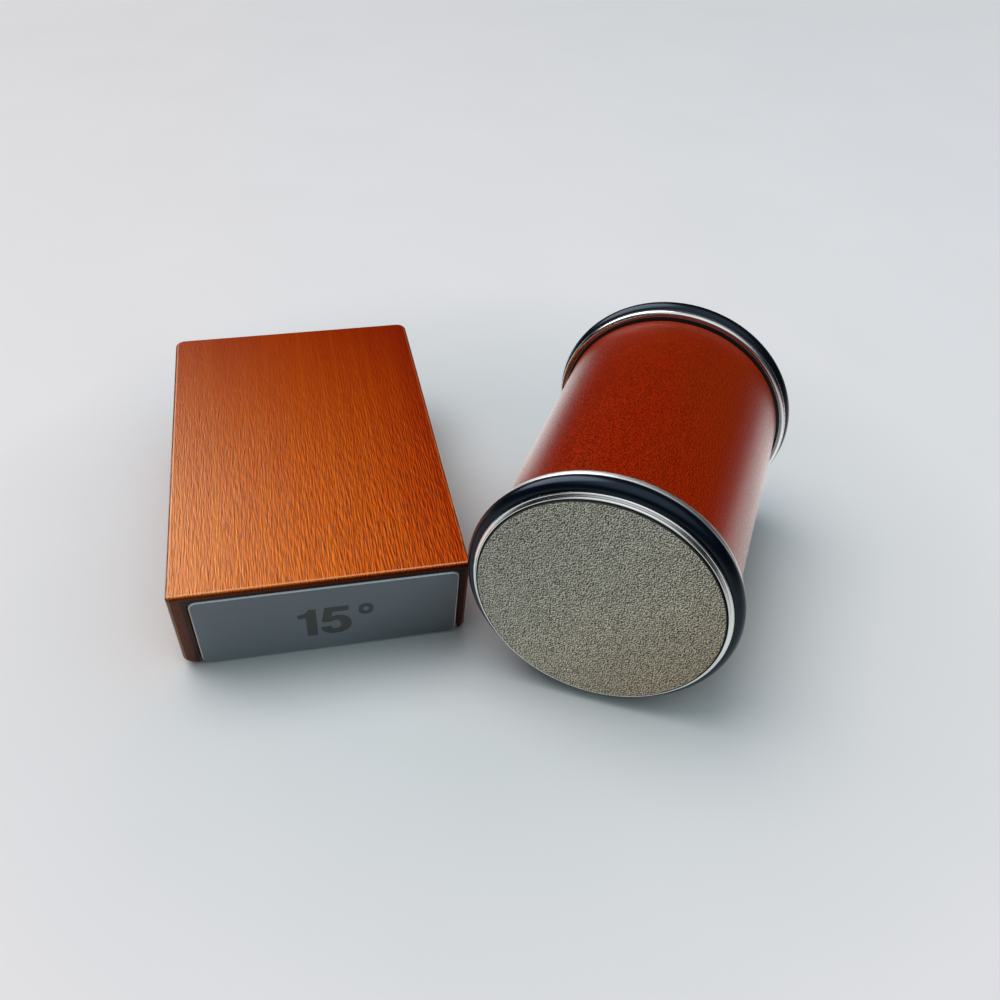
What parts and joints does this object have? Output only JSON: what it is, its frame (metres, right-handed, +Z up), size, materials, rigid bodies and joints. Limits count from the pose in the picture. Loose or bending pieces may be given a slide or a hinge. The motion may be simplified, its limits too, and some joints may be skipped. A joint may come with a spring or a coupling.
{
  "type": "rolling knife sharpener",
  "caption": "Rolling knife sharpener: a wooden angle block with inset pads, and a wooden roller on rubber-ringed steel wheels with a diamond disc in one end and a honing disc in the other.",
  "frame": {"origin": "middle of the bottom of the box that holds the block and the roller, on the table", "axes": "+Z up; the block's length runs along Y with its 15 degree end towards -Y; the roller stands on the +X side, its axle level and turned 30 degrees from +Y towards +X"},
  "size_m": [0.1488, 0.1354, 0.058],
  "materials": {
    "block_wood": "orange-brown stain, satin, open grain",
    "handle_wood": "deep red stain, semi-gloss",
    "pad": "slate grey, satin",
    "mat_rubber": "matt black",
    "tyre_rubber": "smooth blue-black",
    "polished_steel": "polished stainless steel",
    "steel": "turned steel",
    "bearing_steel": "ground steel",
    "cup_aluminium": "turned aluminium",
    "cage_nylon": "natural nylon",
    "magnet": "nickel plate",
    "diamond_grit": "coated with fine diamond grit, grey-olive",
    "honing_steel": "finely ridged steel"
  },
  "bodies": {
    "block": {"block_body": "block_wood", "pad_15": "pad", "pad_20": "pad", "magnets_15": "magnet", "magnets_20": "magnet", "base_mat": "mat_rubber"},
    "handle": {"handle": "handle_wood", "front_bearing_cup": "cup_aluminium", "front_cup_screws": "steel", "front_outer_race": "bearing_steel", "front_shields": "bearing_steel", "rear_bearing_cup": "cup_aluminium", "rear_cup_screws": "steel", "rear_outer_race": "bearing_steel", "rear_shields": "bearing_steel"},
    "wheels": {"axle": "steel", "bearing_spacer": "steel", "front_wheel": "polished_steel", "front_tyre": "tyre_rubber", "front_wheel_screw": "steel", "front_disc_magnets": "magnet", "front_inner_race": "bearing_steel", "rear_wheel": "polished_steel", "rear_tyre": "tyre_rubber", "rear_wheel_screw": "steel", "rear_disc_magnets": "magnet", "rear_inner_race": "bearing_steel"},
    "front_ball_set": {"front_balls": "bearing_steel", "front_cage": "cage_nylon"},
    "rear_ball_set": {"rear_balls": "bearing_steel", "rear_cage": "cage_nylon"},
    "diamond_disc": {"diamond_disc": "diamond_grit"},
    "honing_disc": {"honing_disc": "honing_steel"}
  },
  "joints": [
    {"name": "roller_travel", "type": "slide", "parent": "block", "child": "handle", "axis": [0.866, -0.5, 0], "range_m": [0, 0.12]},
    {"name": "wheel_spin", "type": "hinge", "parent": "handle", "child": "wheels", "pos_m": [0.01094, -0.05489, 0.029], "axis": [0.5, 0.866, 0], "continuous": true},
    {"name": "front_ball_spin", "type": "hinge", "parent": "handle", "child": "front_ball_set", "pos_m": [0.01094, -0.05489, 0.029], "axis": [0.5, 0.866, 0], "continuous": true},
    {"name": "rear_ball_spin", "type": "hinge", "parent": "handle", "child": "rear_ball_set", "pos_m": [0.01094, -0.05489, 0.029], "axis": [0.5, 0.866, 0], "continuous": true},
    {"name": "diamond_disc_release", "type": "slide", "parent": "wheels", "child": "diamond_disc", "axis": [-0.5, -0.866, 0], "range_m": [0, 0.02]},
    {"name": "honing_disc_release", "type": "slide", "parent": "wheels", "child": "honing_disc", "axis": [0.5, 0.866, 0], "range_m": [0, 0.02]}
  ],
  "couplings": [
    {"joint": "front_ball_spin", "follows": "wheel_spin", "ratio": 0.36767},
    {"joint": "rear_ball_spin", "follows": "wheel_spin", "ratio": 0.36767}
  ]
}
